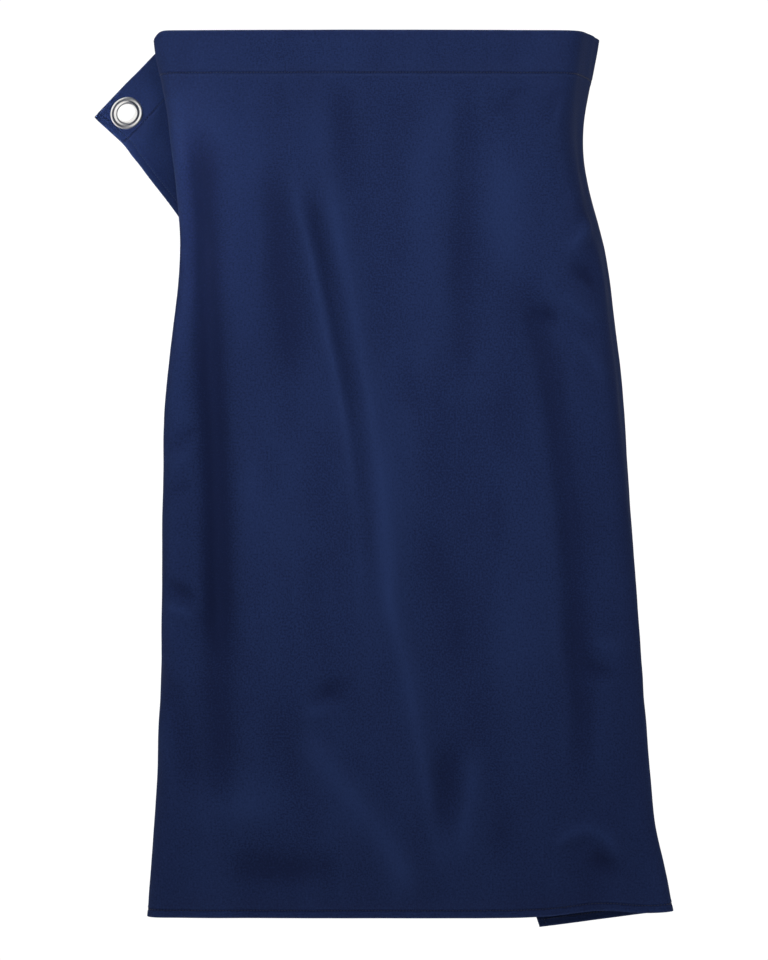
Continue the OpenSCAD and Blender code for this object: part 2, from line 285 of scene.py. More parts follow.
CREASES = [
    # long hanging folds of the front
    [-6.5, 16, 15, 70, [[-164, 70], [-156, 220], [-149, 360], [-145, 480], [-143, 590]]],
    [-3.0, 16, 16, 90, [[-143, 520], [-142, 640], [-138, 770]]],
    [1.0, 15, 15, 70, [[-184, 40], [-187, 300], [-190, 700]]],
    [
        3.0, 12, 12, 60,
        [[-86, 110], [-60, 205], [-38, 300], [-18, 395], [-2, 480], [22, 560], [44, 680], [62, 780]],
    ],
    [3.0, 13, 13, 60, [[-48, 120], [-24, 235], [-6, 340], [8, 440], [20, 560]]],
    [-3.4, 9, 9, 60, [[-62, 130], [-42, 240], [-22, 340], [-10, 440], [0, 530]]],
    [-3.2, 22, 14, 60, [[-98, 100], [-86, 220], [-76, 330]]],
    [-2.0, 14, 14, 40, [[-40, 34], [-32, 90], [-22, 160]]],
    [-1.6, 12, 12, 50, [[80, 36], [78, 160], [74, 330]]],
    [1.6, 26, 26, 50, [[24, 60], [34, 200], [38, 330]]],
    [-3.4, 14, 14, 60, [[132, 215], [152, 300], [168, 400], [178, 520], [184, 620], [186, 700]]],
    [3.2, 30, 20, 60, [[112, 80], [110, 160], [118, 240]]],
    [-1.8, 14, 14, 40, [[20, 240], [26, 290], [28, 360]]],
    [-2.0, 18, 18, 60, [[36, 420], [60, 520], [70, 600]]],
    # the lower front
    [-2.4, 14, 16, 50, [[70, 620], [62, 680], [52, 752]]],
    [2.6, 12, 12, 40, [[88, 640], [80, 700], [70, 760]]],
    [3.2, 12, 20, 34, [[-74, 628], [-46, 662], [-14, 700], [14, 742], [40, 786]]],
    [2.6, 10, 9, 24, [[-76, 628], [-58, 616], [-30, 606]]],
    [-3.0, 12, 11, 26, [[-62, 612], [-44, 598], [-18, 586]]],
    [3.6, 30, 24, 60, [[-188, 716], [-120, 700], [-60, 706]]],
    [-3.0, 18, 16, 50, [[-150, 752], [-90, 758], [-20, 752]]],
    # left edge
    [-2.0, 7, 8, 18, [[-196, 382], [-176, 368], [-158, 352]]],
    [1.5, 8, 8, 16, [[-194, 398], [-176, 386], [-162, 380]]],
    [-1.7, 7, 7, 16, [[-196, 420], [-178, 412], [-164, 406]]],
    [-3.0, 8, 9, 20, [[-200, 500], [-184, 504], [-160, 518]]],
    [2.6, 9, 10, 20, [[-200, 520], [-182, 522], [-158, 534]]],
    [-2.4, 14, 14, 40, [[-200, 566], [-180, 620], [-170, 700]]],
    # right edge
    [3.2, 10, 9, 24, [[204, 164], [184, 184], [166, 208]]],
    [-3.4, 9, 9, 24, [[168, 212], [190, 220], [212, 236]]],
    [-3.2, 8, 9, 20, [[136, 250], [152, 256], [168, 268]]],
    [2.2, 9, 9, 24, [[160, 236], [182, 250], [206, 270]]],
    [2.0, 9, 9, 24, [[176, 270], [190, 290], [214, 320]]],
    [-2.6, 8, 9, 22, [[180, 566], [200, 578], [224, 580]]],
    [2.2, 9, 9, 22, [[186, 548], [206, 556], [230, 552]]],
    [2.8, 9, 9, 24, [[152, 744], [168, 730], [190, 724], [208, 734], [220, 756]]],
    [-3.0, 10, 10, 24, [[186, 744], [204, 756], [222, 772]]],
    [-1.8, 12, 12, 40, [[120, 690], [112, 720], [116, 760]]],
    # under the waistband's seam
    [-1.2, 7, 7, 14, [[-92, 44], [-88, 62], [-82, 84]]],
    [-1.2, 7, 7, 14, [[140, 48], [120, 60], [104, 80]]],
    [-1.0, 7, 7, 14, [[172, 52], [156, 66], [148, 90]]],
    # the wings behind
    [3.0, 16, 16, 50, [[-300, 220], [-306, 420], [-312, 660]]],
    [-3.0, 18, 18, 60, [[-262, 160], [-270, 380], [-280, 700]]],
    [3.0, 18, 18, 60, [[330, 120], [340, 360], [350, 680]]],
    [-2.8, 18, 18, 60, [[372, 160], [378, 420], [384, 720]]],
]

# All heights and all widths in the table are multiplied by these
CREASE_GAIN = 1.7
CREASE_WIDTH = 0.85


def curve_points(points, step):
    """Points at even steps along a smooth curve through the given ones."""
    p = np.array(points, float)
    d = np.concatenate([[0], np.cumsum(np.hypot(*np.diff(p, axis=0).T))])
    q = np.linspace(0, d[-1], max(3, int(d[-1] / step) + 1))
    line = np.stack([smooth(np.stack([d, p[:, k]], 1), q) for k in (0, 1)], 1)
    return line, q


def creases(s, t):
    """Height of all creases at cloth distances s and t, which are flat arrays."""
    out = np.zeros(len(s))
    for height, w_left, w_right, taper, points in CREASES:
        line, along = curve_points(points, 5.0)
        tangent = unit(np.gradient(line, axis=0))
        reach = 3 * max(w_left, w_right)
        lo, hi = line.min(0) - reach, line.max(0) + reach
        near = np.nonzero((s > lo[0]) & (s < hi[0]) & (t > lo[1]) & (t < hi[1]))[0]
        x = np.stack([s[near], t[near]], 1)
        best = np.full(len(x), 1e18)
        k = np.zeros(len(x), int)
        for i, q in enumerate(line):
            gap = (x[:, 0] - q[0]) ** 2 + (x[:, 1] - q[1]) ** 2
            closer = gap < best
            best[closer] = gap[closer]
            k[closer] = i
        rel = x - line[k]
        side = rel[:, 0] * tangent[k, 1] - rel[:, 1] * tangent[k, 0]
        a = along[k] + (rel * tangent[k]).sum(1)
        fade = ease(a / taper - 0.5) * ease((along[-1] - a) / taper - 0.5)
        width = CREASE_WIDTH * np.where(side > 0, w_left, w_right)
        out[near] += CREASE_GAIN * height * fade * np.exp(-((side / width) ** 2))
    return out


LATTICE_N = 64
lattice = np.random.default_rng(20).normal(size=(LATTICE_N, LATTICE_N))


def knot(i, j):
    """The lattice's value at whole numbers i and j, repeated for ever."""
    return lattice[i % LATTICE_N, j % LATTICE_N]


def noise(s, t, size_s, size_t, shift):
    """Smooth noise with bumps about size_s wide and size_t tall. Each shift gives another pattern."""
    x, y = s / size_s + 400.37 * shift, t / size_t + 271.13 * shift
    i, j = np.floor(x).astype(int), np.floor(y).astype(int)
    u, v = x - i, y - j
    u, v = u * u * (3 - 2 * u), v * v * (3 - 2 * v)
    near = knot(i, j) * (1 - u) + knot(i + 1, j) * u
    far = knot(i, j + 1) * (1 - u) + knot(i + 1, j + 1) * u
    return near * (1 - v) + far * v


def groove(distance, width):
    """1 on a line, falling to nothing about two widths from it."""
    return np.exp(-((distance / width) ** 2))


def displaced(s, t):
    """How far the cloth's middle stands out of its smooth drape."""
    shape = np.broadcast(s, t).shape
    s, t = (np.broadcast_to(x, shape).ravel().astype(float) for x in (s, t))
    from_side = np.minimum(s + LEFT_W, RIGHT_W - s)
    below_band = ease((t - 60) / 60)
    out = creases(s, t)
    # broad, long and short undulation of hanging twill
    out += noise(s, t, 34, 110, 1) * 1.1 * below_band
    out += noise(s, t, 17, 46, 2) * 0.5 * (0.4 + 0.6 * below_band)
    out += noise(s, t, 9, 12, 3) * 0.05
    # the turned layers make the waistband and hems stand a little proud
    out += 0.45 * (1 - ease((t - BAND_H - 0.5) / 3))
    out += 0.35 * ease((t - CLOTH_H + HEM_H + 0.5) / 3)
    out += 0.35 * (1 - ease((from_side - SIDE_HEM - 0.5) / 3))
    # seams pull in, and pucker the cloth beside them
    hem_line = CLOTH_H - HEM_SEAM
    out -= 0.55 * (groove(t - BAND_SEAM, 1.2) + groove(t - hem_line, 1.2) + groove(from_side - HEM_SEAM, 1.2))
    out += 0.30 * noise(s, t, 5.5, 40, 4) * (groove(t - BAND_SEAM - 3, 7) + 0.7 * groove(t - hem_line, 6))
    out += 0.55 * noise(s, t, 15, 60, 5) * groove(t - BAND_SEAM + 14, 22)
    out += 0.25 * noise(s, t, 40, 6, 6) * groove(from_side - HEM_SEAM, 6)
    # nothing stands out within 14 mm of an eyelet's axis
    for cs, ct in SEATS.values():
        out *= ease((np.hypot(s - cs, t - ct) - 22) / 16)
    return out.reshape(shape)


def place(s, t, off, relief=None):
    """Points of the draped cloth at cloth distances s and t, off millimetres out of its middle."""
    s, t, off = np.broadcast_arrays(np.asarray(s, float), np.asarray(t, float), np.asarray(off, float))
    relief = displaced(s, t) if relief is None else relief
    return sample(base, s, t) + sample(normals, s, t) * (relief + off)[..., None]


# ---------------------------------------------------------------- materials

# Length of one wave of the wave texture at scale 1
WAVE_LENGTH = 0.314159


class Nodes:
    """A new material's nodes, added by short calls. A value is a fixed one or another node's output."""

    def __init__(self, name):
        self.material = bpy.data.materials.new(name)
        self.material.use_nodes = True
        self.tree = self.material.node_tree
        self.shader = self.tree.nodes["Principled BSDF"]

    def add(self, kind, **settings):
        node = self.tree.nodes.new(kind)
        for setting, value in settings.items():
            setattr(node, setting, value)
        return node

    def put(self, socket, value):
        if isinstance(value, bpy.types.NodeSocket):
            self.tree.links.new(value, socket)
        else:
            socket.default_value = value

    def shade(self, socket_name, value):
        self.put(self.shader.inputs[socket_name], value)

    def math(self, operation, *values):
        node = self.add("ShaderNodeMath", operation=operation)
        for socket, value in zip(node.inputs, values):
            self.put(socket, value)
        return node.outputs[0]

    def total(self, first, *others):
        for value in others:
            first = self.math("ADD", first, value)
        return first

    def away_from(self, value, middle):
        """Distance of a value from a fixed one."""
        return self.math("ABSOLUTE", self.math("SUBTRACT", value, middle))

    def millimetres(self, vector):
        """A vector in metres, in millimetres."""
        node = self.add("ShaderNodeVectorMath", operation="SCALE")
        node.inputs["Scale"].default_value = 1000
        self.put(node.inputs[0], vector)
        return node.outputs[0]

    def cloth_millimetres(self):
        """Cloth distances in millimetres, as a vector."""
        return self.millimetres(self.add("ShaderNodeUVMap", uv_map="ClothUV").outputs[0])

    def object_point(self):
        return self.add("ShaderNodeTexCoord").outputs["Object"]

    def turned(self, vector, degrees=0, stretch=(1, 1, 1)):
        node = self.add("ShaderNodeMapping")
        node.inputs["Rotation"].default_value = (0, 0, math.radians(degrees))
        node.inputs["Scale"].default_value = stretch
        self.put(node.inputs[0], vector)
        return node.outputs[0]

    def bands(self, vector, pitch):
        """Waves across x with the given pitch in millimetres."""
        node = self.add("ShaderNodeTexWave", wave_type="BANDS", bands_direction="X")
        node.inputs["Scale"].default_value = WAVE_LENGTH / pitch
        node.inputs["Distortion"].default_value = 0.6
        node.inputs["Detail"].default_value = 1
        node.inputs["Detail Scale"].default_value = 1.5
        self.put(node.inputs["Vector"], vector)
        return node.outputs["Fac"]

    def noise(self, vector, size, detail=3):
        node = self.add("ShaderNodeTexNoise")
        node.inputs["Scale"].default_value = 1 / size
        node.inputs["Detail"].default_value = detail
        node.inputs["Roughness"].default_value = 0.6
        self.put(node.inputs["Vector"], vector)
        return node.outputs["Fac"]

    def ramp(self, value, low, high, to_low=0.0, to_high=1.0):
        node = self.add("ShaderNodeMapRange")
        node.inputs["From Min"].default_value = low
        node.inputs["From Max"].default_value = high
        node.inputs["To Min"].default_value = to_low
        node.inputs["To Max"].default_value = to_high
        self.put(node.inputs["Value"], value)
        return node.outputs["Result"]

    def mix(self, factor, a, b):
        """Between two colours, each a fixed (red, green, blue) or an output."""
        node = self.add("ShaderNodeMix", data_type="RGBA")
        self.put(node.inputs["Factor"], factor)
        for socket, colour in ((node.inputs[6], a), (node.inputs[7], b)):
            self.put(socket, (*colour, 1) if isinstance(colour, tuple) else colour)
        return node.outputs[2]

    def bump(self, height, distance, strength, normal=None):
        node = self.add("ShaderNodeBump")
        node.inputs["Strength"].default_value = strength
        node.inputs["Distance"].default_value = distance
        self.put(node.inputs["Height"], height)
        if normal is not None:
            self.put(node.inputs["Normal"], normal)
        return node.outputs[0]


# Pitches of the twill's diagonal ribs and of its yarns
RIB_PITCH = 0.62
RIB_ANGLE = 58
YARN_PITCH = 0.40


def twill(name, dark, light, worn):
    """Piece-dyed cotton twill: fine diagonal ribs of yarn, uneven dye and worn edges."""
    n = Nodes(name)
    mm = n.cloth_millimetres()
    split = n.add("ShaderNodeSeparateXYZ")
    n.put(split.inputs[0], mm)
    across, down = split.outputs[0], split.outputs[1]
    rib = n.bands(n.turned(mm, RIB_ANGLE), RIB_PITCH)
    yarn = n.bands(n.turned(mm), YARN_PITCH)
    slub = n.noise(n.turned(mm, stretch=(1.4, 0.12, 1)), 0.9, 2)
    fleck = n.noise(mm, 1.8)
    mottle = n.noise(n.turned(mm, stretch=(1, 0.5, 1)), 26, 4)
    weave = n.math("MULTIPLY", rib, n.ramp(yarn, 0, 1, 0.55, 1))
    relief = n.add("ShaderNodeAttribute", attribute_name="relief").outputs["Fac"]
    # dark or pale: the weave and the dye, painted shade in the grooves where the seams pull the cloth in, and
    # painted shade in the folds' valleys with painted light on their ridges
    tone = n.total(
        n.ramp(weave, 0, 1, -0.24, 0.24),
        n.ramp(slub, 0.3, 0.7, -0.12, 0.12),
        n.ramp(fleck, 0.3, 0.7, -0.42, 0.42),
        n.ramp(mottle, 0.3, 0.7, 0.44, 0.60),
        # painted shade: darker along the waistband's and the hem's seam lines, where the cloth is pulled into
        # a groove
        n.ramp(n.away_from(down, BAND_SEAM), 0.4, 1.4, -0.3, 0),
        n.ramp(n.away_from(down, CLOTH_H - HEM_SEAM), 0.4, 1.4, -0.3, 0),
        # painted shade and light: the fold height darkens the valleys and lightens the ridges
        n.ramp(relief, -9, 9, -0.6, 0.6),
    )
    # wear: the dye is paler along the four edges and just below the waistband's layer
    from_side = n.math("SUBTRACT", (LEFT_W + RIGHT_W) / 2, n.away_from(across, (RIGHT_W - LEFT_W) / 2))
    from_end = n.math("SUBTRACT", CLOTH_H / 2, n.away_from(down, CLOTH_H / 2))
    from_edge = n.math("MINIMUM", from_side, from_end)
    edge_wear = n.math("MULTIPLY", n.ramp(from_edge, -0.5, 1.4, 1, 0), n.ramp(fleck, 0.35, 0.65, 0.2, 1))
    band_wear = n.math("MULTIPLY", n.ramp(n.away_from(down, BAND_H + 0.6), 0, 1.1, 0.35, 0), fleck)
    wear = n.total(edge_wear, band_wear)
    n.shade("Base Color", n.mix(wear, n.mix(tone, dark, light), worn))
    fuzz = n.noise(mm, 0.35, 2)
    height = n.total(weave, n.math("MULTIPLY", fuzz, 0.5), n.math("MULTIPLY", slub, 0.5))
    crumple = n.noise(n.turned(mm, stretch=(1, 0.7, 1)), 7)
    n.shade("Normal", n.bump(height, 0.00012, 0.6, n.bump(crumple, 0.0006, 0.5)))
    n.shade("Roughness", n.ramp(mottle, 0.3, 0.7, 0.84, 0.94))
    n.shade("Specular IOR Level", 0.03)
    n.shade("Sheen Weight", 0.02)
    n.shade("Sheen Roughness", 0.45)
    n.shade("Sheen Tint", (0.35, 0.45, 0.8, 1))
    return n.material


def thread_material():
    """Navy sewing thread with a twisted ply, coloured darker than the cloth as painted shade round the
    stitches.
    """
    n = Nodes("thread")
    ply = n.bands(n.turned(n.cloth_millimetres(), 35), 0.30)
    # painted shade: the thread is darker than the cloth so the stitches read as dark dashes
    n.shade("Base Color", n.mix(ply, (0.001, 0.002, 0.007), (0.004, 0.007, 0.022)))
    n.shade("Normal", n.bump(ply, 0.00008, 0.5))
    n.shade("Roughness", 0.55)
    n.shade("Specular IOR Level", 0.25)
    return n.material


def label_material():
    """Blank woven satin, a little grubby."""
    n = Nodes("label")
    mm = n.cloth_millimetres()
    weft = n.bands(n.turned(mm, 90), 0.28)
    clean = n.mix(weft, (0.62, 0.62, 0.58), (0.78, 0.78, 0.74))
    grime = n.ramp(n.noise(mm, 9, 4), 0.45, 0.8, 0, 0.5)
    n.shade("Base Color", n.mix(grime, clean, (0.5, 0.5, 0.46)))
    n.shade("Normal", n.bump(weft, 0.00006, 0.5))
    n.shade("Roughness", 0.5)
    return n.material


def nickel_material():
    """Nickel plate, satin-bright, with hair scratches and a faint dulling."""
    n = Nodes("nickel")
    mm = n.millimetres(n.object_point())
    scratch = n.noise(n.turned(mm, 20, (1, 9, 9)), 1.6)
    cloud = n.noise(mm, 5)
    n.shade("Base Color", n.mix(cloud, (0.90, 0.89, 0.86), (0.96, 0.95, 0.93)))
    n.shade("Roughness", n.ramp(cloud, 0.35, 0.65, 0.34, 0.40))
    n.shade("Normal", n.bump(scratch, 0.00001, 0.15))
    n.shade("Metallic", 1)
    return n.material


outer_twill = twill("twill", (0.0047, 0.0077, 0.0275), (0.0104, 0.0192, 0.062), (0.018, 0.030, 0.082))
inner_twill = twill("twill_inside", (0.0044, 0.0078, 0.025), (0.0094, 0.0165, 0.052), (0.016, 0.026, 0.070))
thread = thread_material()
label_cloth = label_material()
nickel = nickel_material()

# ---------------------------------------------------------------- mesh helpers


def new_mesh(
    name, verts, faces, materials, uv=None, material_index=None, vertex_normals=None, relief=None
):
    """A smooth mesh object from points in millimetres."""
    me = bpy.data.meshes.new(name)
    faces = faces if isinstance(faces, list) else faces.tolist()
    me.from_pydata((np.asarray(verts) * MM).tolist(), [], faces)
    me.update()
    me.polygons.foreach_set("use_smooth", [True] * len(me.polygons))
    ob = bpy.data.objects.new(name, me)
    bpy.context.scene.collection.objects.link(ob)
    for material in materials:
        me.materials.append(material)
    if material_index is not None:
        me.polygons.foreach_set("material_index", np.asarray(material_index, np.int32))
    if uv is not None:
        layer = me.uv_layers.new(name="ClothUV")
        idx = np.zeros(len(me.loops), np.int32)
        me.loops.foreach_get("vertex_index", idx)
        layer.data.foreach_set("uv", (np.asarray(uv) * MM)[idx].astype(np.float32).ravel())
    # fold heights, read by the twill to paint shade into valleys and light onto ridges
    if relief is not None:
        me.attributes.new("relief", "FLOAT", "POINT").data.foreach_set("value", relief.astype(np.float32))
    if vertex_normals is not None:
        me.normals_split_custom_set_from_vertices(vertex_normals.tolist())
    return ob


def shell_faces(keep):
    """A closed shell's faces: an outer grid's kept cells, the inner ones behind them, and walls between."""
    n, m = keep.shape[0] + 1, keep.shape[1] + 1
    i, j = np.nonzero(keep)
    a = i * m + j
    outer = np.stack([a, a + m, a + m + 1, a + 1], -1)
    inner = outer[:, ::-1] + n * m
    start, end = outer.ravel(), np.roll(outer, -1, axis=1).ravel()
    size = n * m
    open_edge = ~np.isin(start * size + end, end * size + start)
    start, end = start[open_edge], end[open_edge]
    wall = np.stack([end, start, start + size, end + size], -1)
    return outer, inner, wall


def vertex_normals(verts, faces):
    a, b, c, d = (verts[faces[:, k]] for k in range(4))
    face_normal = np.cross(c - a, d - b)
    out = np.zeros_like(verts)
    for k in range(4):
        np.add.at(out, faces[:, k], face_normal)
    return unit(out)


def drop_unused(verts, faces, *extras):
    used = np.unique(faces)
    lookup = np.full(len(verts), -1)
    lookup[used] = np.arange(len(used))
    return (verts[used], lookup[faces], *(x[used] for x in extras))


# ---------------------------------------------------------------- grid lines of the sheet

# An edge rolls over the layer turned in behind it, round a line in the gap between the two
ROLL_ANGLES = np.radians([180, 150, 120, 90, 60, 30])
ROLL_MID = HALF + GAP / 2
ROLL_OUT = CLOTH_T + GAP / 2
ROLL_IN = GAP / 2


def rolled(body, low, high):
    """Grid lines across a body, with its two edges rolled inwards.

    Each line is [outer distance, outer offset, inner distance, inner offset].
    """
    sin, cos = np.sin(ROLL_ANGLES), np.cos(ROLL_ANGLES)
    outer = [ROLL_MID - ROLL_OUT * sin, ROLL_OUT * cos - ROLL_MID]
    inner = [ROLL_MID - ROLL_IN * sin, ROLL_IN * cos - ROLL_MID]
    roll = np.stack(outer + inner, 1)
    first = roll + [low, 0, low, 0]
    last = (roll * [-1, 1, -1, 1] + [high, 0, high, 0])[::-1]
    flat = np.stack([body, np.full(len(body), HALF), body, np.full(len(body), -HALF)], 1)
    return np.concatenate([first, flat, last])


def spaced(*stops):
    """Distances through stops [at, step after it], the last with no step."""
    out = []
    for (a, step), (b, _) in zip(stops, stops[1:]):
        n = max(1, round((b - a) / step))
        out += [a + (b - a) * k / n for k in range(n)]
    return np.array(out + [stops[-1][0]])


# Distance right of the middle at which the sheet is cut in two
SPLIT = 150.0
body_t = spaced([ROLL_MID, 3], [33, 1], [44, 3], [CLOTH_H - 14, 1], [CLOTH_H - ROLL_MID, 0])
body_s = spaced(
    [-LEFT_W + ROLL_MID, 1.3],
    [-LEFT_W + 14, 2.5],
    [SPLIT, 2.5],
    [RIGHT_W - 14, 1.3],
    [RIGHT_W - ROLL_MID, 0],
)
grid_t = rolled(body_t, 0, CLOTH_H)
grid_s = rolled(body_s, -LEFT_W, RIGHT_W)
split_column = int(np.argmin(abs(grid_s[:, 0] - SPLIT)))

# Radius within which the cloth is left out round an eyelet, hidden by its flange
EYELET_CUT = 11.5
# The two faces of a layer turned in, as heights above the sheet's middle
LAYER_TOP = -HALF - GAP
LAYER_LOW = LAYER_TOP - CLOTH_T


def sheet_points(face):
    """Points, cloth distances and fold heights of the outer (0) or inner (1) face."""
    s, t = np.meshgrid(grid_s[:, 2 * face], grid_t[:, 2 * face])
    off = np.minimum(grid_s[None, :, 2 * face + 1], grid_t[:, None, 2 * face + 1])
    relief = displaced(s, t)
    return place(s, t, off, relief).reshape(-1, 3), np.stack([s, t], -1).reshape(-1, 2), relief.ravel()


def near_eyelet(s, t):
    return np.any([np.hypot(s - cs, t - ct) < EYELET_CUT for cs, ct in SEATS.values()], axis=0)


def cell_middles(lines):
    return (lines[1:] + lines[:-1]) / 2


def build_sheets():
    """The whole sheet as one closed shell, cut into a main and a right-hand piece with shared shading."""
    outer_p, outer_uv, outer_relief = sheet_points(0)
    inner_p, inner_uv, inner_relief = sheet_points(1)
    # fold heights as seen from each face, for the twill's painted shade and light
    relief = np.concatenate([outer_relief, -inner_relief])
    verts = np.concatenate([outer_p, inner_p])
    uv = np.concatenate([outer_uv, inner_uv])
    keep = ~near_eyelet(cell_middles(grid_s[:, 0])[None, :], cell_middles(grid_t[:, 0])[:, None])
    whole = shell_faces(keep)
    shade = vertex_normals(verts, np.concatenate(whole[:2]))
    columns = np.arange(len(grid_s) - 1)[None, :]
    made = []
    for name, part in (("sheet_main", columns < split_column), ("sheet_right", columns >= split_column)):
        outer, inner, wall = shell_faces(keep & part)
        faces = np.concatenate([outer, inner, wall])
        index = np.concatenate([np.zeros(len(outer)), np.ones(len(inner)), np.zeros(len(wall))])
        v, f, u, sh, rel = drop_unused(verts, faces, uv, shade, relief)
        made.append(new_mesh(name, v, f, [outer_twill, inner_twill], u, index, sh, rel))
    return made


def layer(name, s, t, round_s, round_t, material, top=LAYER_TOP, thick=CLOTH_T):
    """A flat layer of cloth behind the sheet: a closed shell.

    round_s and round_t say whether its low and high edges are rounded, each way.
    """
    bottom = top - thick
    middle, half = (top + bottom) / 2, (top - bottom) / 2

    def half_thickness(values, ends):
        depth = np.full(len(values), half)
        for k, share in ((0, 0.35), (1, 0.8)):
            if ends[0]:
                depth[k] = half * share
            if ends[1]:
                depth[-1 - k] = half * share
        return depth

    half_at = np.minimum(half_thickness(t, round_t)[:, None], half_thickness(s, round_s)[None, :])
    ss, tt = np.meshgrid(s, t)
    relief = displaced(ss, tt)
    outer = place(ss, tt, middle + half_at, relief).reshape(-1, 3)
    inner = place(ss, tt, middle - half_at, relief).reshape(-1, 3)
    keep = ~near_eyelet(cell_middles(s)[None, :], cell_middles(t)[:, None])
    faces = np.concatenate(shell_faces(keep))
    uv = np.stack([ss, tt], -1).reshape(-1, 2)
    v, f, u = drop_unused(np.concatenate([outer, inner]), faces, np.concatenate([uv, uv]))
    return new_mesh(name, v, f, [material], u)


# One stitch: its length, its thread's radius and sides, and how far its middle stands off the cloth
STITCH_LENGTH = 2.2
STITCH_R = 0.34
STITCH_SIDES = 6
STITCH_PROUD = 0.12
# Its five rings: where each lies along it, its radius, and how far it sinks
STITCH_ALONG = np.array([-0.5, -0.41, 0, 0.41, 0.5]) * STITCH_LENGTH
STITCH_THICK = np.array([0.35, 0.85, 1, 0.85, 0.35]) * STITCH_R
STITCH_SINK = np.array([0.34, 0.1, 0, 0.1, 0.34])


def stitch_template():
    """One stitch along x with its top along z: points and faces."""
    sides = STITCH_SIDES
    turn = np.arange(sides) * 2 * math.pi / sides
    beside = np.outer(STITCH_THICK, np.cos(turn)).ravel()
    above = np.outer(STITCH_THICK, np.sin(turn)).ravel() - np.repeat(STITCH_SINK, sides)
    points = np.stack([np.repeat(STITCH_ALONG, sides), beside, above], 1)
    rings = len(STITCH_ALONG)
    faces = []
    for k in range(rings - 1):
        for i in range(sides):
            j = (i + 1) % sides
            faces.append([k * sides + i, k * sides + j, (k + 1) * sides + j, (k + 1) * sides + i])
    faces.append(list(range(sides))[::-1])
    faces.append(list(range((rings - 1) * sides, rings * sides)))
    return points, faces


def stitches(name, s, t, along_s, deeper=0.0):
    """A row of lockstitches on both faces, one mesh: each a short thread that dips in at both ends."""
    local, template = stitch_template()
    verts, faces, uv = [], [], []
    step = 1.0
    for sign, off in ((1, HALF + STITCH_PROUD), (-1, LAYER_LOW - STITCH_PROUD - deeper)):
        across = place(s + step, t, off) - place(s - step, t, off)
        down = place(s, t + step, off) - place(s, t - step, off)
        normal = unit(np.cross(down, across)) * sign
        forward = unit(across if along_s else down)
        beside = np.cross(normal, forward)
        centre = place(s, t, off)
        for k in range(len(s)):
            start = len(verts) * len(local)
            along = local[:, :1] * forward[k]
            verts.append(centre[k] + along + local[:, 1:2] * beside[k] + local[:, 2:] * normal[k])
            faces += [[start + i for i in f] for f in template]
            uv.append(np.array([s[k], t[k]]) + local[:, [0, 1]])
    return new_mesh(name, np.concatenate(verts), faces, [thread], np.concatenate(uv))


def seam_centres(low, high, pitch=2.8):
    n = int((high - low) / pitch)
    return low + (np.arange(n) + 0.5) * (high - low) / n


# ---------------------------------------------------------------- eyelets

# The faces of the flange and the washer that meet the cloth, with a little air left
FLANGE_Z = HALF + 0.05
WASHER_Z = LAYER_LOW - 0.05


def lathe(name, profile, side):
    """A closed outline [radius, height] turned about an eyelet's axis."""
    p0, a0, d0, n0 = seats[side]
    count = 128
    turn = np.arange(count) * 2 * math.pi / count
    ring = np.cos(turn)[:, None] * a0 - np.sin(turn)[:, None] * d0
    prof = np.array(profile, float)
    verts = (p0 + prof[None, :, :1] * ring[:, None, :] + prof[None, :, 1:] * n0).reshape(-1, 3)
    m = len(prof)
    k, i = np.meshgrid(np.arange(count), np.arange(m), indexing="ij")
    a, b = k * m + i, k * m + (i + 1) % m
    c, d = ((k + 1) % count) * m + (i + 1) % m, ((k + 1) % count) * m + i
    return new_mesh(name, verts, np.stack([a, b, c, d], -1).reshape(-1, 4), [nickel])


def arc(cr, cz, radius, start, end, count, flat=1.0):
    """Points of an arc in an outline, from angle start to end in degrees, flattened in height."""
    a = np.radians(np.linspace(start, end, count))
    return [[cr + radius * math.cos(x), cz + radius * flat * math.sin(x)] for x in a]


def eyelet_outline():
    """Bead, groove and rim on the outside, then the barrel and its curl behind."""
    rim = arc(EYELET_R - 1.3, FLANGE_Z + 0.1, 1.3, 0, 118, 14, 0.6)
    hollow = [[12.8, FLANGE_Z + 0.45], [12.2, FLANGE_Z + 0.3], [11.6, FLANGE_Z + 0.4]]
    bead = arc(10.1, FLANGE_Z + 0.45, 1.25, 15, 165, 16, 0.7)
    throat = [[HOLE_R + 0.12, FLANGE_Z + 0.3], [HOLE_R, FLANGE_Z - 0.4], [HOLE_R, WASHER_Z - 0.9]]
    curl = arc(HOLE_R + 1.0, WASHER_Z - 0.5, 1.0, 190, 350, 9)
    back = [[HOLE_R + 1.6, WASHER_Z - 0.35], [HOLE_R + 0.75, WASHER_Z - 0.3], [HOLE_R + 0.62, WASHER_Z + 0.2]]
    under = [[HOLE_R + 0.62, FLANGE_Z - 0.1], [HOLE_R + 0.8, FLANGE_Z], [EYELET_R - 0.4, FLANGE_Z]]
    return rim + hollow + bead + throat + curl + back + under


def washer_outline():
    h, r, z = HOLE_R + 0.75, EYELET_R, WASHER_Z
    return (
        [[h, z], [h, z - 0.4]]
        + arc(h + 0.4, z - 0.4, 0.4, 180, 270, 4)
        + [[h + 2.6, z - 0.86], [r - 1.6, z - 0.72]]
        + arc(r - 0.6, z - 0.1, 0.6, 285, 360, 5)
        + [[r, z]]
    )


# ---------------------------------------------------------------- the pieces


def finish_piece(piece, nodes, wing=None, body=None):
    """Lets a piece ride on a body, or bakes a wing piece's transform into its mesh, in place of the CAD's
    nodes, which it hides.
    """
    if wing == "left":
        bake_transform(piece)
    elif wing == "right":
        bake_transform(piece)
    else:
        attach(piece, body)
    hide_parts(*nodes)


def side_lines(sign, width):
    """Grid lines across a side hem, from low to high."""
    q = np.array([SIDE_HEM, SIDE_HEM - 0.12, 8, 7.3, 6.5, 5.7, 4.5, 3, 1.6, ROLL_MID])
    s = sign * (width - q)
    return s if sign > 0 else s[::-1]


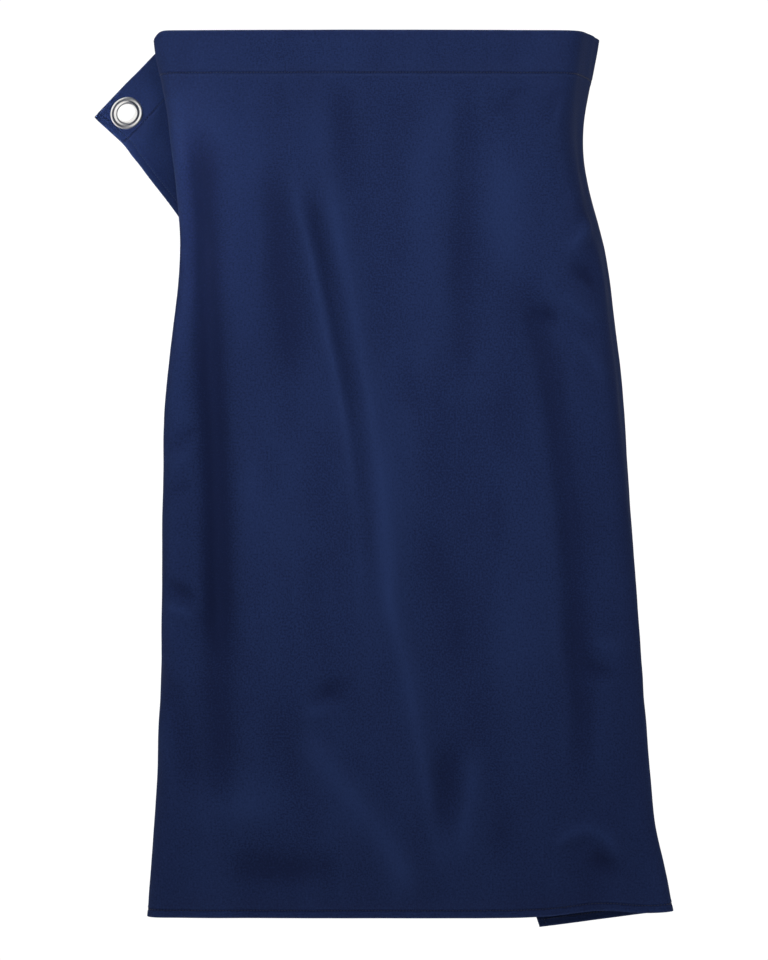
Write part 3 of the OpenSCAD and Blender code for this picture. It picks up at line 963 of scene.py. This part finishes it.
def nodes_for(kind, end):
    """CAD nodes of a kind that a piece stands for: the one at the left end has the front's as well."""
    return [f"{kind}_front", f"{kind}_left"] if end == "left" else [f"{kind}_right"]


sheet_main, sheet_right = build_sheets()
finish_piece(sheet_main, ["front_panel", "left_wing_panel"], wing="left")
finish_piece(sheet_right, ["right_wing_panel"], wing="right")

# Layers of the waistband and the bottom hem, on the sheet's own grid lines inside its rolled edges
EDGE_LINES = len(ROLL_ANGLES)
HEM_TOP = CLOTH_H - HEM_H
main_s = grid_s[EDGE_LINES : split_column + 1, 0]
right_s = grid_s[split_column:-EDGE_LINES, 0]
band_t = np.concatenate([body_t[body_t < BAND_H - 0.3], [BAND_H - 0.12, BAND_H]])
hem_t = np.concatenate([[HEM_TOP, HEM_TOP + 0.12], body_t[body_t > HEM_TOP + 0.4]])
side_t = spaced([BAND_H + 0.1, 3], [HEM_TOP - 0.1, 0])
NEITHER, LOW, HIGH, BOTH = (False, False), (True, False), (False, True), (True, True)

for name, s, end in (("main", main_s, "left"), ("right", right_s, "right")):
    band = layer(f"band_layer_{name}", s, band_t, NEITHER, HIGH, inner_twill)
    finish_piece(band, nodes_for("waistband", end), wing=end)
    hem = layer(f"hem_layer_{name}", s, hem_t, NEITHER, LOW, inner_twill)
    finish_piece(hem, nodes_for("bottom_hem", end), wing=end)

for side, sign, width in (("left", -1, LEFT_W), ("right", 1, RIGHT_W)):
    turned_edge = HIGH if side == "left" else LOW
    strip = layer(f"side_hem_layer_{side}", side_lines(sign, width), side_t, turned_edge, BOTH, inner_twill)
    finish_piece(strip, [f"side_hem_{side}"], body=f"{side}_wing")
    centres = seam_centres(4, CLOTH_H - 2)
    row = stitches(f"side_stitches_{side}", np.full(len(centres), sign * (width - HEM_SEAM)), centres, False)
    finish_piece(row, [f"side_thread_{side}"], body=f"{side}_wing")
    eyelet = lathe(f"eyelet_ring_{side}", eyelet_outline(), side)
    finish_piece(eyelet, [f"eyelet_{side}"], body=f"{side}_wing")
    back = lathe(f"eyelet_back_{side}", washer_outline(), side)
    finish_piece(back, [f"eyelet_washer_{side}"], body=f"{side}_wing")

LABEL_S = (-60, -28)
LABEL_T = (34, 80)
LABEL_THICK = 0.3
for name, low, high, end in (("main", -LEFT_W + 3, SPLIT, "left"), ("right", SPLIT, RIGHT_W - 3, "right")):
    centres = seam_centres(low, high)
    over_label = (centres > LABEL_S[0] - 1) & (centres < LABEL_S[1] + 1)
    seam = np.full(len(centres), BAND_SEAM)
    row = stitches(f"waist_stitches_{name}", centres, seam, True, over_label * (LABEL_THICK + GAP))
    finish_piece(row, nodes_for("waist_thread", end), wing=end)
    row = stitches(f"hem_stitches_{name}", centres, np.full(len(centres), CLOTH_H - HEM_SEAM), True)
    finish_piece(row, nodes_for("hem_thread", end), wing=end)


def label_lines(low, high):
    return spaced([low, 0.15], [low + 0.3, 2], [high - 0.3, 0.15], [high, 0])


label = layer(
    "care_label_cloth",
    label_lines(*LABEL_S),
    label_lines(*LABEL_T),
    BOTH,
    BOTH,
    label_cloth,
    top=LAYER_LOW - GAP,
    thick=LABEL_THICK,
)
finish_piece(label, ["care_label"], body="front")

# ---------------------------------------------------------------- studio


def area_light(name, location, target, size, power, spread=180):
    """A soft lamp aimed at a target, left out of mirror reflections."""
    data = bpy.data.lights.new(name, "AREA")
    data.shape = "RECTANGLE"
    data.size, data.size_y = size
    data.energy = power
    data.spread = math.radians(spread)
    light = bpy.data.objects.new(name, data)
    bpy.context.scene.collection.objects.link(light)
    light.location = location
    light.visible_glossy = False
    direction = np.array(target, float) - np.array(location, float)
    yaw = math.atan2(direction[0], -direction[1])
    pitch = math.acos(-direction[2] / np.linalg.norm(direction))
    light.rotation_euler = (pitch, 0, yaw + math.pi)


def emission_material(name, strength):
    material = bpy.data.materials.new(name)
    material.use_nodes = True
    nodes, links = material.node_tree.nodes, material.node_tree.links
    nodes.clear()
    emission = nodes.new("ShaderNodeEmission")
    emission.inputs["Strength"].default_value = strength
    links.new(emission.outputs[0], nodes.new("ShaderNodeOutputMaterial").inputs["Surface"])
    return material


FLOOR_R = 1.5
FLOOR_Z = -1.06


def floor_material():
    """Pale matt floor that passes into plain white light at its round edge."""
    n = Nodes("floor")
    n.shade("Base Color", (0.8, 0.8, 0.8, 1))
    n.shade("Roughness", 0.7)
    n.shade("Specular IOR Level", 0.1)
    from_middle = n.add("ShaderNodeVectorMath", operation="LENGTH")
    n.put(from_middle.inputs[0], n.object_point())
    fade = n.ramp(from_middle.outputs["Value"], 0.25 * FLOOR_R, 0.97 * FLOOR_R, 0.35, 1)
    mixer = n.add("ShaderNodeMixShader")
    n.put(mixer.inputs[0], fade)
    n.put(mixer.inputs[1], n.shader.outputs[0])
    n.put(mixer.inputs[2], n.add("ShaderNodeEmission").outputs[0])
    n.put(n.tree.nodes["Material Output"].inputs["Surface"], mixer.outputs[0])
    return n.material


def build_studio():
    bpy.ops.mesh.primitive_circle_add(
        vertices=96, radius=FLOOR_R, fill_type="NGON", location=(0, 0, FLOOR_Z)
    )
    floor = bpy.context.object
    floor.name = "floor"
    floor.data.materials.append(floor_material())
    bpy.ops.mesh.primitive_uv_sphere_add(segments=48, ring_count=24, radius=28, location=(0, 0, 0))
    backdrop = bpy.context.object
    backdrop.name = "backdrop"
    backdrop.data.materials.append(emission_material("backdrop", 1.05))
    backdrop.visible_diffuse = False
    backdrop.visible_transmission = False
    backdrop.visible_shadow = False
    area_light("key", (-1.7, -1.5, 1.2), (0.0, -0.08, -0.2), (0.8, 0.8), 51)
    area_light("front", (-0.1, -2.6, -0.3), (-0.08, -0.08, 0.03), (0.8, 0.8), 4.4, spread=42)
    area_light("flap", (-0.45, -2.2, -0.85), (-0.28, 0.02, -0.11), (0.12, 0.12), 0.30, spread=9)
    area_light("fill", (2.3, -1.4, 0.3), (0.1, -0.08, -0.35), (1.4, 1.4), 30)
    area_light("back", (-0.6, 2.6, 1.2), (0.0, 0.0, -0.4), (2.0, 1.6), 110)
    world = bpy.data.worlds.new("studio")
    bpy.context.scene.world = world
    world.use_nodes = True
    world.node_tree.nodes["Background"].inputs["Color"].default_value = (0.93, 0.96, 1, 1)
    world.node_tree.nodes["Background"].inputs["Strength"].default_value = 0.16
    bpy.context.scene.view_settings.view_transform = "Standard"


build_studio()
